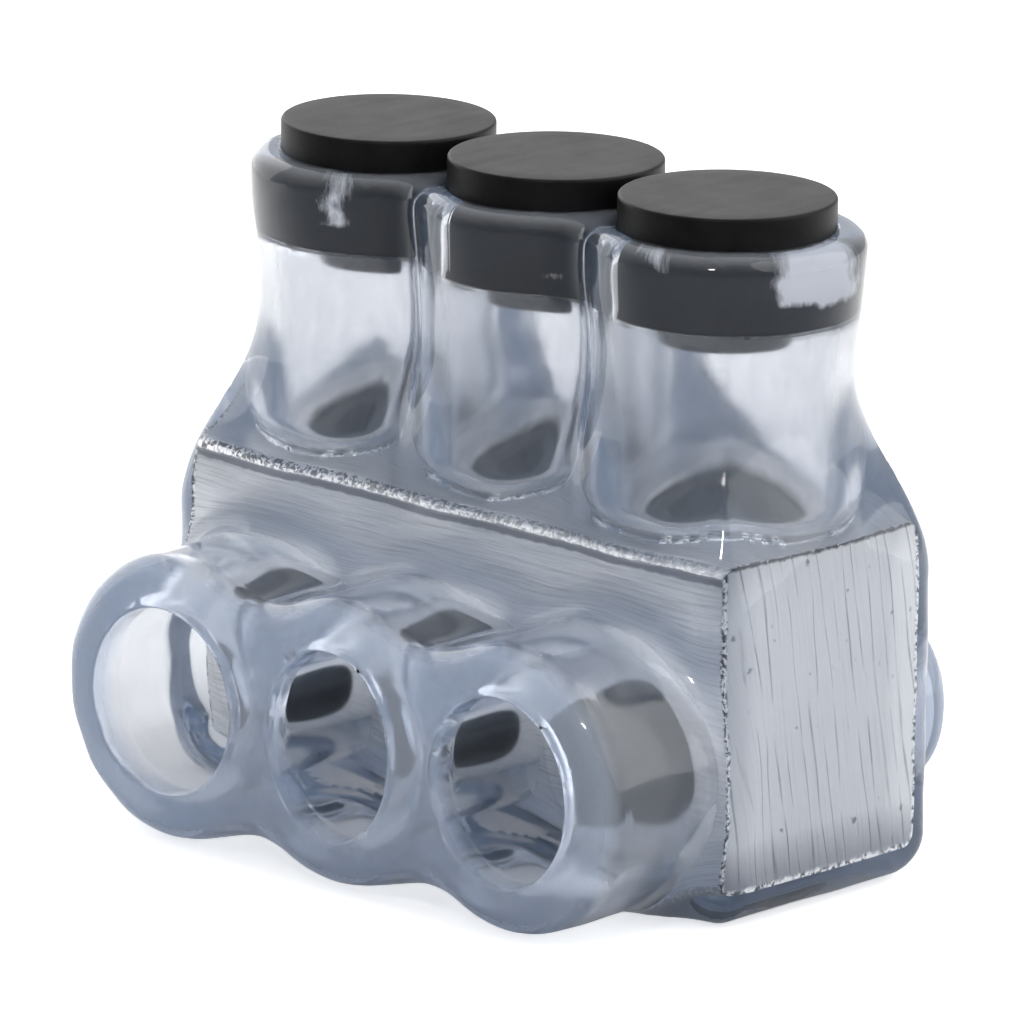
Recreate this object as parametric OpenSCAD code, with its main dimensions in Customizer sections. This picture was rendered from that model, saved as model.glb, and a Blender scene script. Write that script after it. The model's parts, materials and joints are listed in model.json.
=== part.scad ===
// Insulated multi-tap connector: an aluminium block with three wire ports, dipped in clear vinyl.
// X runs along the row of ports, the ports open towards -Y and the screw towers stand up along +Z.
// The origin lies on the underside of the jacket, below the middle of the block.

/* [Row] */
// Distance from one port to the next
pitch = 26; // [25.8:0.2:32]

/* [Block] */
// From the axis of an outer port to the sawn end of the block
end_margin = 14.4; // [12:0.2:20]
// Depth of the block, from the port side to the back
block_depth = 30.4; // [26:0.2:40]
// Height of the block
block_height = 36.9; // [34:0.2:46]
// Radius of the extruded block's four long edges
block_edge_r = 1.4; // [0.4:0.1:2]
// Diameter of the bore that takes the bare conductor
wire_bore_d = 17.6; // [14:0.2:18]
// Height of the bore's axis above the underside of the block
wire_bore_height = 12.7; // [11.6:0.1:14]
// Width of the bevel round the mouth of each screw hole
mouth_bevel = 0.6; // [0.2:0.1:1.2]

/* [Set screw] */
// Outer diameter of the set screw's thread
screw_d = 15.8; // [12:0.1:17]
// Length of the set screw
screw_length = 13.6; // [9:0.2:14]
// Depth of a backed-out screw's top below the top of the block
screw_recess = 1.2; // [1:0.1:2]
// Hexagon socket, measured across its flats
hex_across_flats = 7.94; // [5:0.01:9]
// Depth of the hexagon socket
hex_depth = 7; // [4:0.5:8]
// Bevel at both ends of the screw
screw_bevel = 0.9; // [0.4:0.1:1.4]
// Radial clearance between the screw and its hole
screw_clearance = 0.05; // [0.02:0.01:0.1]

/* [Jacket round the block] */
// Thickness of the coat on the sides, ends and back of the block
coat_side = 3.2; // [2.4:0.1:5]
// Thickness of the coat under the block
coat_bottom = 4.2; // [2.4:0.1:5]
// Radius of the upright corners of the coat
corner_r = 5; // [4.9:0.1:7]
// Radius of the bottom edge of the coat
bottom_edge_r = 4.8; // [2:0.1:4.8]

/* [Screw towers] */
// Inside diameter of a tower
tower_bore_d = 24.6; // [20:0.1:24.8]
// Radius of the fillet round the foot of a tower's bore, where the vinyl runs out on to the block
foot_r = 3.5; // [1:0.1:3.5]
// Wall of a tower at its waist
waist_wall = 2.3; // [1.4:0.1:3.5]
// Wall of a tower at its thick rim
rim_wall = 3.4; // [1.8:0.1:4.5]
// Height of a tower's rim above the top of the block
tower_height = 34.1; // [30:0.1:50]
// Length of the thick part of the rim
rim_length = 13; // [6:0.5:14]
// Radius of the rolled outer edge of the rim
rim_edge_r = 2.2; // [0.8:0.1:2.4]
// Height above the block at which the towers begin to flare out to the shoulder
flare_start = 17; // [10:0.5:17]
// Depth below the top of the block at which the flare meets the side coat
flare_end = 5; // [1:0.5:6]
// Radius of the fillet that joins neighbouring towers
tower_fillet_r = 5.5; // [3:0.5:12]

/* [Port collars] */
// Inside diameter of a collar behind its cut opening
collar_bore_d = 24.8; // [20:0.1:25]
// Wall of a collar
collar_wall = 4.2; // [2:0.1:4.2]
// Reach of the collars in front of the block
collar_reach = 21.2; // [16:0.2:30]
// Diameter of the opening cut in the front of a collar
opening_d = 21.2; // [18.4:0.2:21.6]
// Thickness of the front wall that the opening is cut through
front_wall = 3; // [1.5:0.1:4]
// Height of the collars' underside above the surface that the connector stands on
collar_lift = 0.3; // [0.2:0.1:1.5]
// Radius of the front edge of the collars
collar_edge_r = 4; // [2:0.1:5]
// Radius of the fillet that joins neighbouring collars
collar_fillet_r = 25; // [12:1:40]
// Height that the upper root of the collars sweeps up on to the front coat
root_rise = 4; // [2:0.5:6]
// Length of the collars over which the root sweeps up
root_length = 7; // [4:0.5:10]

/* [Closed stubs at the back] */
// Reach of a stub behind the block
stub_reach = 12.6; // [8:0.2:16]
// Wall of a stub
stub_wall = 3; // [1.6:0.1:3.4]
// Radius of a stub's end edge
stub_edge_r = 4; // [1:0.1:4.4]

/* [Plugs] */
// Radial clearance between a plug and its tower
plug_clearance = 0.05; // [0.02:0.01:0.1]
// Length of the full round of a plug
plug_length = 13; // [8:0.2:15]
// Height of a plug's head above the rim
plug_proud = 3.6; // [2:0.1:5]
// Diameter of the lead-in nub under a plug
nub_d = 14.6; // [8:0.2:18]
// Length of the nub
nub_length = 2.9; // [1.5:0.1:4]
// Radius of a plug's edges
plug_edge_r = 0.4; // [0.2:0.1:0.8]

/* [Hidden] */
port_count = 3;
fine = 96;
arc_step = 12;
corner_steps = 4;
level_step = 18;
flare_levels = 7;
rim_levels = 3;
root_levels = 5;
tiny = 0.001;
cut_past = 1;
vinyl = [0.72, 0.78, 0.88, 0.45];
rubber = [0.13, 0.13, 0.14];

block_length = (port_count - 1) * pitch + 2 * end_margin;
block_low = coat_bottom;
block_top = block_low + block_height;
front_y = -block_depth / 2;
back_y = block_depth / 2;
port_z = block_low + wire_bore_height;
coat_a = block_length / 2 + coat_side;
coat_b = block_depth / 2 + coat_side;
waist_r = tower_bore_d / 2 + waist_wall;
rim_r = tower_bore_d / 2 + rim_wall;
bore_foot_r = min(foot_r, tower_bore_d / 2 - screw_d / 2 - screw_clearance - mouth_bevel);
rim_top = block_top + tower_height;
collar_r = collar_bore_d / 2 + collar_wall;
collar_sag = (port_z - collar_lift) / collar_r;
collar_front = front_y - collar_reach;
stub_r = wire_bore_d / 2 + stub_wall;
screw_top = block_top - screw_recess;
hole_r = screw_d / 2 + screw_clearance;
plug_r = tower_bore_d / 2 - plug_clearance;
plug_top = rim_top + plug_proud;

// Place of port number i along X, counted from zero
function port_x(i) = (i - (port_count - 1) / 2) * pitch;

// Runs smoothly from 0 to 1 as u goes from 0 to 1
function ease(u) = let (v = max(0, min(1, u))) v * v * (3 - 2 * v);

// Distance of a joining fillet's centre from the row's axis, for circles of radius r and a fillet f
function fillet_reach(r, f) = sqrt(pow(r + f, 2) - pow(pitch / 2, 2));

// Angle at which such a fillet leaves its circle
function join_angle(r, f) = atan2(fillet_reach(r, f), pitch / 2);

// Angles from t0 to t1 in even steps; trim leaves out the end angles
function spread(t0, t1, trim = 0, least = 2) =
    let (n = max(least, round(abs(t1 - t0) / arc_step)))
    [for (k = [trim : n - trim]) t0 + (t1 - t0) * k / n];

// Points on an arc about [cx, cy] at the given angles, each with its centre and its angle
function arc(cx, cy, r, angles) = [for (t = angles) [cx + r * cos(t), cy + r * sin(t), cx, t]];

// Angles round the outer side of the right end circle, with finer steps where they meet the coat's corners
function end_angles(a) =
    let (side = end_margin + coat_side,
         low = atan2(coat_b - corner_r, side),
         high = atan2(coat_b, side - corner_r))
    concat(
        spread(a - 180, -90), spread(-90, -high, 1), spread(-high, -low, 0, corner_steps),
        spread(-low, low, 1), spread(low, high, 0, corner_steps), spread(high, 90, 1), spread(90, 180 - a)
    );

// Outline of a row of merged circles, counter-clockwise, as [x, y, own centre, angle]
function row_outline(r, f) =
    let (a = join_angle(r, f), h = fillet_reach(r, f), last = port_count - 1, ends = end_angles(a))
    concat(
        arc(port_x(0), 0, r, [for (t = ends) t + 180]),
        [for (i = [0 : last - 1]) each concat(
            arc(port_x(i) + pitch / 2, -h, f, spread(180 - a, a, 1)),
            i + 1 < last ? arc(port_x(i + 1), 0, r, spread(180 + a, 360 - a)) : [])],
        arc(port_x(last), 0, r, ends),
        [for (i = [last - 1 : -1 : 0]) each concat(
            arc(port_x(i) + pitch / 2, h, f, spread(-a, a - 180, 1)),
            i > 0 ? arc(port_x(i), 0, r, spread(a, 180 - a)) : [])]
    );

// Where a ray from [cx, 0] at angle t leaves a rectangle of half sides a and b with corners of radius c
function ray_to_box(cx, t, a, b, c) =
    let (d = [cos(t), sin(t)],
         sx = abs(d.x) < tiny ? a + b : ((d.x > 0 ? a : -a) - cx) / d.x,
         sy = abs(d.y) < tiny ? 2 * (a + b) : b / abs(d.y),
         p = [cx, 0] + min(abs(sx), sy) * d,
         q = [sign(p.x) * (a - c), sign(p.y) * (b - c)],
         m = [cx, 0] - q,
         e = m * d)
    abs(p.x) > a - c && abs(p.y) > b - c ? [cx, 0] + (sqrt(e * e - m * m + c * c) - e) * d : p;

// Point of the coat's rounded rectangle that belongs to point p of the row's outline
function box_point(p, a, b, c) =
    (p.x <= port_x(0) || p.x >= port_x(port_count - 1))
        ? ray_to_box(p[2], p[3], a, b, c)
        : [p.x, sign(p.y) * b];

// One level of the body's skin: w blends the towers' outline (0) into the coat's rectangle (1)
function body_ring(z, r, f, w, inset) =
    [for (p = row_outline(r, f))
        let (q = box_point(p, coat_a - inset, coat_b - inset, corner_r - inset),
             m = (1 - w) * [p.x, p.y] + w * q)
        [m.x, m.y, z]];

// One level of the collars' skin at distance z in front of the block's middle plane
function collar_ring(z, r, f, lift) =
    [for (p = row_outline(r, f))
        [p.x, p.y * (p.y < 0 ? collar_sag : 1 + lift / r), z]];

// Where point p of a ring falls on the line through the middle of the row
function spine(p) = [max(port_x(0), min(port_x(port_count - 1), p.x)), 0, p.z];

// Closed skin through a stack of rings that all have the same number of points, capped from each rim to the spine
module skin(rings) {
    n = len(rings[0]);
    levels = len(rings);
    low = levels * n;
    high = low + n;
    spines = [for (ring = [rings[0], rings[levels - 1]]) each [for (p = ring) spine(p)]];
    sides = [for (k = [0 : levels - 2], i = [0 : n - 1])
        let (j = (i + 1) % n)
        each [[k * n + i, (k + 1) * n + i, (k + 1) * n + j], [k * n + i, (k + 1) * n + j, k * n + j]]];
    caps = [for (i = [0 : n - 1])
        let (j = (i + 1) % n, t = (levels - 1) * n, apart = norm(spines[i] - spines[j]) > tiny)
        each concat(
            [[i, j, low + j], [high + j, t + j, t + i]],
            apart ? [[low + i, i, low + j], [high + j, t + i, high + i]] : [])];
    polyhedron(points = concat([for (ring = rings) each ring], spines), faces = concat(sides, caps), convexity = 8);
}

// Coat, flared shoulder, merged towers and rolled rim in one skin
module body_skin() {
    flare_top = block_top + flare_start;
    flare_low = block_top - flare_end;
    rim_low = rim_top - rim_length;
    roll_low = rim_top - rim_edge_r;
    bottom_rings = [for (t = [0 : level_step : 90])
        body_ring(bottom_edge_r * (1 - sin(t)), waist_r, tower_fillet_r, 1, bottom_edge_r * (1 - cos(t)))];
    flare_rings = [for (k = [0 : flare_levels])
        let (u = k / flare_levels)
        body_ring(flare_low + u * (flare_top - flare_low), waist_r, tower_fillet_r, 1 - ease(u), 0)];
    rim_rings = [for (k = [0 : rim_levels])
        let (u = k / rim_levels, g = ease(u) * (rim_wall - waist_wall))
        body_ring(rim_low + u * (roll_low - rim_low), waist_r + g, tower_fillet_r - g, 0, 0)];
    roll_rings = [for (t = [level_step : level_step : 90])
        let (g = rim_wall - waist_wall - rim_edge_r * (1 - cos(t)))
        body_ring(roll_low + rim_edge_r * sin(t), waist_r + g, tower_fillet_r - g, 0, 0)];
    skin(concat([for (k = [len(bottom_rings) - 1 : -1 : 0]) bottom_rings[k]], flare_rings, rim_rings, roll_rings));
}

// Merged collars with a swept root and a rounded front edge in one skin
module collar_skin() {
    start = -front_y - coat_side;
    roll = -collar_front - collar_edge_r;
    root_rings = [for (k = [0 : root_levels])
        let (u = k / root_levels)
        collar_ring(-front_y + coat_side + u * root_length, collar_r, collar_fillet_r, root_rise * pow(1 - u, 2))];
    front_rings = [for (t = [0 : level_step : 90])
        let (g = collar_edge_r * (1 - cos(t)))
        collar_ring(roll + collar_edge_r * sin(t), collar_r - g, collar_fillet_r + g, 0)];
    translate([0, 0, port_z])
        rotate([90, 0, 0])
            skin(concat([collar_ring(start, collar_r, collar_fillet_r, root_rise)], root_rings, front_rings));
}

// Closed round stub behind one port
module stub() {
    rotate([-90, 0, 0])
        rotate_extrude($fn = fine) {
            square([stub_r, back_y + stub_reach - stub_edge_r]);
            square([stub_r - stub_edge_r, back_y + stub_reach]);
            translate([stub_r - stub_edge_r, back_y + stub_reach - stub_edge_r])
                circle(r = stub_edge_r, $fn = fine);
        }
}

// Room inside one tower, with a fillet round its foot
module tower_bore() {
    r = tower_bore_d / 2;
    rotate_extrude($fn = fine) {
        square([r - bore_foot_r, tower_height + cut_past]);
        translate([0, bore_foot_r])
            square([r, tower_height + cut_past - bore_foot_r]);
        translate([r - bore_foot_r, bore_foot_r])
            circle(r = bore_foot_r, $fn = fine);
    }
}

// The extruded bar that the block is sawn from, with rounded long edges
module bar() {
    r = block_edge_r;
    translate([-block_length / 2, front_y, block_low])
        rotate([90, 0, 90])
            linear_extrude(block_length) {
                translate([0, r])
                    square([block_depth, block_height - 2 * r]);
                translate([r, 0])
                    square([block_depth - 2 * r, block_height]);
                for (y = [r, block_depth - r], z = [r, block_height - r])
                    translate([y, z])
                        circle(r = r, $fn = fine);
            }
}

module jacket() {
    color(vinyl)
        difference() {
            union() {
                body_skin();
                collar_skin();
                for (i = [0 : port_count - 1])
                    translate([port_x(i), 0, port_z])
                        stub();
            }
            bar();
            for (i = [0 : port_count - 1]) {
                translate([port_x(i), 0, block_top])
                    tower_bore();
                translate([port_x(i), front_y, port_z])
                    rotate([90, 0, 0])
                        cylinder(d = collar_bore_d, h = collar_reach - front_wall, $fn = fine);
                translate([port_x(i), front_y, port_z])
                    rotate([90, 0, 0])
                        cylinder(d = opening_d, h = collar_reach + cut_past, $fn = fine);
                translate([port_x(i), back_y, port_z])
                    rotate([-90, 0, 0])
                        cylinder(d = wire_bore_d, h = stub_reach - stub_wall, $fn = fine);
            }
        }
}

module block() {
    color("silver")
        difference() {
            bar();
            for (i = [0 : port_count - 1]) {
                translate([port_x(i), front_y - cut_past, port_z])
                    rotate([-90, 0, 0])
                        cylinder(d = wire_bore_d, h = block_depth + 2 * cut_past, $fn = fine);
                translate([port_x(i), 0, port_z])
                    cylinder(r = hole_r, h = block_top - port_z + cut_past, $fn = fine);
                translate([port_x(i), 0, block_top - mouth_bevel])
                    cylinder(r1 = hole_r, r2 = hole_r + mouth_bevel + cut_past, h = mouth_bevel + cut_past, $fn = fine);
            }
        }
}

// Set screw number i: a headless screw with a hexagon socket
module set_screw(i) {
    r = screw_d / 2;
    color("gainsboro")
        translate([port_x(i), 0, screw_top - screw_length])
            difference() {
                rotate_extrude($fn = fine)
                    polygon([
                        [0, 0], [r - screw_bevel, 0], [r, screw_bevel],
                        [r, screw_length - screw_bevel], [r - screw_bevel, screw_length], [0, screw_length]
                    ]);
                translate([0, 0, screw_length - hex_depth])
                    cylinder(d = hex_across_flats / cos(30), h = hex_depth + cut_past, $fn = 6);
            }
}

// Plug number i: a round rubber stopper with a lead-in nub
module plug(i) {
    color(rubber)
        translate([port_x(i), 0, plug_top - plug_length])
            rotate_extrude($fn = fine) {
                translate([0, plug_edge_r])
                    square([plug_r, plug_length - 2 * plug_edge_r]);
                square([plug_r - plug_edge_r, plug_length]);
                for (z = [plug_edge_r, plug_length - plug_edge_r])
                    translate([plug_r - plug_edge_r, z])
                        circle(r = plug_edge_r, $fn = fine);
                translate([0, -nub_length])
                    square([nub_d / 2, nub_length + plug_edge_r]);
            }
}

module set_screw_1() { set_screw(0); }
module set_screw_2() { set_screw(1); }
module set_screw_3() { set_screw(2); }
module plug_1() { plug(0); }
module plug_2() { plug(1); }
module plug_3() { plug(2); }

block();
jacket();
set_screw_1();
set_screw_2();
set_screw_3();
plug_1();
plug_2();
plug_3();
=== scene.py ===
"""Looks of an insulated multi-tap connector: an aluminium block in clear vinyl, with set screws and plugs.

Lengths in the classes are millimetres in the row frame, as in the part's source, and become metres when a
mesh is made. X runs along the row of ports, the ports open towards -Y and the towers stand up along +Z.
"""
import json
import logging
import math
from collections.abc import Callable
from dataclasses import dataclass, field
from enum import Enum
from functools import reduce

import bpy
import numpy as np
from mathutils import Matrix, Vector


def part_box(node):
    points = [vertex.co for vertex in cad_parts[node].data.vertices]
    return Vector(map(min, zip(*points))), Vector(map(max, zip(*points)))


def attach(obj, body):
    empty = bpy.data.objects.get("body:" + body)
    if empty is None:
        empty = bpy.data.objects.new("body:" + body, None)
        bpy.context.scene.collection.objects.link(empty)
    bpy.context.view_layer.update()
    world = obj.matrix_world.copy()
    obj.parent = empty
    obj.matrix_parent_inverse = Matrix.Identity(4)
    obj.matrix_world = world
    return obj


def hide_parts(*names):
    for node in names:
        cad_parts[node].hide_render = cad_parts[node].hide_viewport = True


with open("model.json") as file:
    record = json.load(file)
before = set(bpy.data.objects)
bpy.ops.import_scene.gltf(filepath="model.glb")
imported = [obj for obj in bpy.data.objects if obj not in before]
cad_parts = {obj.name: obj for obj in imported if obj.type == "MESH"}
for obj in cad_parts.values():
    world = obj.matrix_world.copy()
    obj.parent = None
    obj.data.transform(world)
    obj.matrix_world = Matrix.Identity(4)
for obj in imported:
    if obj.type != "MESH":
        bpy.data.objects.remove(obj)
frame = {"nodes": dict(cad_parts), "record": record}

LOG = logging.getLogger("connector")
MM = 0.001
WHITE = (1.0, 1.0, 1.0, 1.0)
DULLNESS = "dullness"
CLOUD = "cloud"
GAP_REFLECTION = "powder"
# Patches of painted reflection by plug, where air between plug and vinyl would mirror the light: angles
# round the plug in degrees, and depths below its top in millimetres
GAP_REFLECTION_PATCHES = {
    1: ((-88.0, -58.0, 4.6, 10.5),),
    2: ((-60.0, -30.0, 9.6, 11.4),),
    3: ((-108.0, -70.0, 4.6, 7.0), (-34.0, 42.0, 4.2, 10.8)),
}
CYCLES = {
    "max_bounces": 14,
    "transmission_bounces": 14,
    "glossy_bounces": 12,
    "diffuse_bounces": 5,
    "volume_bounces": 2,
    "caustics_reflective": False,
    "adaptive_threshold": 0.1,
    "use_light_tree": False,
}
Array = np.ndarray
Pair = tuple[float, float]
Triple = tuple[float, float, float]
Colour = tuple[float, float, float, float]
Distance = Callable[[Array], Array]
Socket = bpy.types.NodeSocket
Value = Socket | float
Paint = Socket | Colour
# Lower and upper end of a range of values, and of the range that it is mapped to
Fit = tuple[float, float, float, float]


def ease(u: Array) -> Array:
    """Smooth step: three u squared minus two u cubed, with u held between 0 and 1."""
    v = np.clip(u, 0.0, 1.0)
    return v * v * (3.0 - 2.0 * v)


def soft_union(a: Array, b: Array, reach: float) -> Array:
    """Union of two distances whose join is a smooth fillet.

    In words: the lower of the two, minus a quarter of the reach times the square of how close they are.

    Args:
        a: Distance to the first shape.
        b: Distance to the second shape.
        reach: Difference of the distances over which they blend.

    Returns:
        The blended distance.
    """
    near = np.maximum(reach - np.abs(a - b), 0.0) / reach
    return np.minimum(a, b) - 0.25 * reach * near * near


def rounded_cut(a: Array, b: Array, radius: Array | float) -> Array:
    """Intersection of two distances with an edge of the given radius.

    In words: past the edge, the distance to a circle that touches both sides.

    Args:
        a: Distance to the first shape.
        b: Distance to the second shape.
        radius: Radius of the edge between them.

    Returns:
        The distance to what they share.
    """
    corner = np.hypot(np.maximum(a + radius, 0.0), np.maximum(b + radius, 0.0))
    return np.minimum(np.maximum(a, b), -radius) + corner


def direction(azimuth: float, elevation: float) -> Vector:
    """Unit vector away from the connector; both angles are in degrees and azimuth 0 is -Y."""
    az, el = math.radians(azimuth), math.radians(elevation)
    return Vector((math.sin(az) * math.cos(el), -math.cos(az) * math.cos(el), math.sin(el)))


def revolve(profile: Array, steps: int) -> tuple[Array, Array]:
    """Turns a profile round Z: the point at angle t is (r cos t, r sin t, z).

    Args:
        profile: Rows of radius and height, from the lower pole to the upper one.
        steps: Number of steps round the axis.

    Returns:
        The grid of points, one row per profile point, and the angles of its columns.
    """
    angle = np.arange(steps) * (2.0 * math.pi / steps)
    ring = np.stack([np.cos(angle), np.sin(angle)], axis=-1)
    grid = np.empty((len(profile), steps, 3))
    grid[..., :2] = profile[:, None, :1] * ring[None]
    grid[..., 2] = profile[:, 1:2]
    return grid, angle


def closed_grid(grid: Array) -> tuple[Array, list]:
    """Faces of a tube of rings whose first and last ring end in a pole.

    Args:
        grid: Points as rings by steps by 3; the first and the last ring have no width.

    Returns:
        Vertices and faces, with one vertex at each pole and the faces outwards.
    """
    rings, steps, _ = grid.shape
    inner = grid[1:-1].reshape(-1, 3)
    verts = np.concatenate([grid[:1, 0], inner, grid[-1:, 0]])
    k = np.arange(rings - 3)[:, None] * steps + 1
    i = np.arange(steps)[None]
    j = (i + 1) % steps
    quads = np.stack([k + i, k + j, k + steps + j, k + steps + i], axis=-1).reshape(-1, 4)
    last = 1 + (rings - 3) * steps
    ring = np.arange(steps)
    turn = (ring + 1) % steps
    low = np.stack([np.zeros(steps, int), 1 + turn, 1 + ring], axis=-1)
    high = np.stack([np.full(steps, len(verts) - 1), last + ring, last + turn], axis=-1)
    return verts, quads.tolist() + low.tolist() + high.tolist()


def make_piece(name: str, verts: Array, faces: list | Array, normals: Array | None = None,
               sharp_angle: float | None = None) -> bpy.types.Object:
    """Puts vertices in millimetres and faces into a new smooth-shaded object.

    Args:
        name: Name of the piece.
        verts: Vertices in millimetres, in the row frame.
        faces: Faces as lists of vertex numbers.
        normals: Normals of the face corners, where they are known exactly.
        sharp_angle: Angle in degrees past which an edge is shaded sharp.

    Returns:
        The object, at the origin, unturned and unscaled.
    """
    mesh = bpy.data.meshes.new(name)
    mesh.from_pydata((verts * MM).tolist(), [], faces if isinstance(faces, list) else faces.tolist())
    mesh.polygons.foreach_set("use_smooth", np.ones(len(mesh.polygons), bool))
    mesh.update()
    if normals is not None:
        mesh.normals_split_custom_set(normals.tolist())
    piece = bpy.data.objects.new(name, mesh)
    bpy.context.scene.collection.objects.link(piece)
    if sharp_angle is not None:
        mesh.set_sharp_from_angle(angle=math.radians(sharp_angle))
    return piece


def give_values(piece: bpy.types.Object, name: str, values: Array) -> None:
    """Stores one value per vertex on a piece, for its material to read by name."""
    piece.data.attributes.new(name, "FLOAT", "POINT").data.foreach_set("value", values)


@dataclass(frozen=True)
class Layout:
    """Places that the pieces share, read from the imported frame, in millimetres."""

    ports: tuple[float, ...]
    port_z: float
    wire_r: float
    block_low: Array
    block_high: Array
    jacket_low: Array
    jacket_high: Array
    plug_r: float
    plug_low: float
    plug_top: float
    screw_r: float
    screw_low: float
    screw_top: float

    @classmethod
    def from_frame(cls) -> "Layout":
        """Reads the nodes' boxes and the record's mounts.

        Returns:
            The places, in millimetres.
        """
        boxes = {name: [np.array(corner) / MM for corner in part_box(name)] for name in frame["nodes"]}
        plugs = [boxes[f"plug_{i}"] for i in range(1, sum(n.startswith("plug_") for n in boxes) + 1)]
        mounts = {mount["name"]: mount for mount in frame["record"]["mounts"]}
        port = mounts["wire_port_1"]
        return cls(
            ports=tuple(float((low[0] + high[0]) / 2) for low, high in plugs),
            port_z=port["pos_m"][2] / MM,
            wire_r=port["dims"]["r_mm"],
            block_low=boxes["block"][0],
            block_high=boxes["block"][1],
            jacket_low=boxes["jacket"][0],
            jacket_high=boxes["jacket"][1],
            plug_r=float(plugs[0][1][0] - plugs[0][0][0]) / 2,
            plug_low=float(plugs[0][0][2]),
            plug_top=float(plugs[0][1][2]),
            screw_r=float(boxes["set_screw_1"][1][1]),
            screw_low=float(boxes["set_screw_1"][0][2]),
            screw_top=float(boxes["set_screw_1"][1][2]),
        )


class Wall(Enum):
    """Kinds of wall in the vinyl, with how dull each is."""

    CUT = 0.65
    COLLAR = 0.50
    BORE = 1.0


@dataclass(frozen=True)
class Grain:
    """Fractal noise: its scale, its number of octaves and the share that each octave keeps of the last."""

    scale: float
    detail: float = 3.0
    roughness: float = 0.5


class NodeTree:
    """Short way to add and join the nodes of one material."""

    def __init__(self, name: str) -> None:
        """Starts an empty material.

        Args:
            name: Name of the material.
        """
        self.material = bpy.data.materials.new(name)
        self.material.use_nodes = True
        self.tree = self.material.node_tree
        self.tree.nodes.clear()
        self.output = self.add("ShaderNodeOutputMaterial")

    @classmethod
    def on(cls, tree: bpy.types.NodeTree) -> "NodeTree":
        """Works on a tree that is already there, such as the world's.

        Args:
            tree: Tree to add nodes to.

        Returns:
            The short way to it, without a material.
        """
        self = cls.__new__(cls)
        self.tree = tree
        return self

    def add(self, kind: str, inputs: dict | None = None, **settings: object) -> bpy.types.Node:
        """Adds a node.

        Args:
            kind: Blender's type name of the node.
            inputs: Values or sockets for its inputs, by input name or number.
            settings: Values for the node's own properties.

        Returns:
            The new node.
        """
        node = self.tree.nodes.new(kind)
        for key, value in settings.items():
            setattr(node, key, value)
        for key, value in (inputs or {}).items():
            if isinstance(value, Socket):
                self.tree.links.new(value, node.inputs[key])
            else:
                node.inputs[key].default_value = value
        return node

    def place(self) -> Socket:
        """Object coordinates of the shaded point, in metres."""
        return self.add("ShaderNodeTexCoord").outputs["Object"]

    def normal(self) -> tuple[Socket, ...]:
        """The three components of the surface's normal."""
        return self.parts(self.add("ShaderNodeNewGeometry").outputs["Normal"])

    def attribute(self, name: str) -> Socket:
        """Value that the mesh carries under a name."""
        return self.add("ShaderNodeAttribute", attribute_name=name).outputs["Fac"]

    def parts(self, vector: Socket) -> tuple[Socket, ...]:
        """The three components of a vector."""
        return tuple(self.add("ShaderNodeSeparateXYZ", {0: vector}).outputs)

    def vector(self, x: Value = 0.0, y: Value = 0.0, z: Value = 0.0) -> Socket:
        """A vector put together from three values or sockets."""
        return self.add("ShaderNodeCombineXYZ", {0: x, 1: y, 2: z}).outputs[0]

    def millimetres(self) -> Socket:
        """Object coordinates in millimetres."""
        return self.scaled((1.0 / MM, 1.0 / MM, 1.0 / MM))

    def scaled(self, scale: Triple, turn: Triple = (0.0, 0.0, 0.0)) -> Socket:
        """Object coordinates stretched by scale and turned by turn, in radians."""
        node = self.add("ShaderNodeMapping", {"Vector": self.place(), "Scale": scale, "Rotation": turn})
        return node.outputs["Vector"]

    def noise(self, vector: Socket, grain: Grain) -> Socket:
        """Fractal noise from 0 to 1 on the given coordinates.

        Args:
            vector: Coordinates to read the noise at.
            grain: Its scale, octaves and roughness.

        Returns:
            The noise.
        """
        inputs = {"Vector": vector, "Scale": grain.scale, "Detail": grain.detail,
                  "Roughness": grain.roughness}
        return self.add("ShaderNodeTexNoise", inputs).outputs["Fac"]

    def fit(self, value: Value, low: float, high: float, to_low: float = 0.0, to_high: float = 1.0,
            kind: str = "LINEAR") -> Socket:
        """Maps low..high of a value to to_low..to_high, held at its ends.

        Args:
            value: Value to map.
            low: Lower end of its range.
            high: Upper end of its range.
            to_low: Result at the lower end.
            to_high: Result at the upper end.
            kind: Blender's name of the curve between the ends.

        Returns:
            The result.
        """
        inputs = {"Value": value, "From Min": low, "From Max": high, "To Min": to_low, "To Max": to_high}
        return self.add("ShaderNodeMapRange", inputs, interpolation_type=kind).outputs["Result"]

    def ramp(self, value: Value, low: float, high: float, least: float, most: float = 1.0) -> Socket:
        """Smooth rise of a value from least at low to most at high."""
        return self.fit(value, low, high, least, most, "SMOOTHSTEP")

    def math(self, operation: str, a: Value, b: Value = 0.0, c: Value = 0.0) -> Socket:
        """One arithmetic step on up to three values or sockets."""
        return self.add("ShaderNodeMath", {0: a, 1: b, 2: c}, operation=operation).outputs[0]

    def total(self, *values: Value) -> Value:
        """Sum of several values or sockets."""
        return reduce(lambda a, b: self.math("ADD", a, b), values)

    def product(self, *values: Value) -> Value:
        """Product of several values or sockets."""
        return reduce(lambda a, b: self.math("MULTIPLY", a, b), values)

    def dot(self, vector: Socket, way: Triple) -> Socket:
        """Share of a vector along a fixed direction."""
        node = self.add("ShaderNodeVectorMath", {0: vector, 1: way}, operation="DOT_PRODUCT")
        return node.outputs["Value"]

    def length(self, a: Value, b: Value) -> Socket:
        """Root of the sum of two squares."""
        return self.math("SQRT", self.total(self.product(a, a), self.product(b, b)))

    def mix(self, factor: Value, a: Paint, b: Paint) -> Socket:
        """Blend of colour a into colour b by a factor."""
        node = self.add("ShaderNodeMix", {0: factor, 6: a, 7: b}, data_type="RGBA")
        return node.outputs[2]

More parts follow.
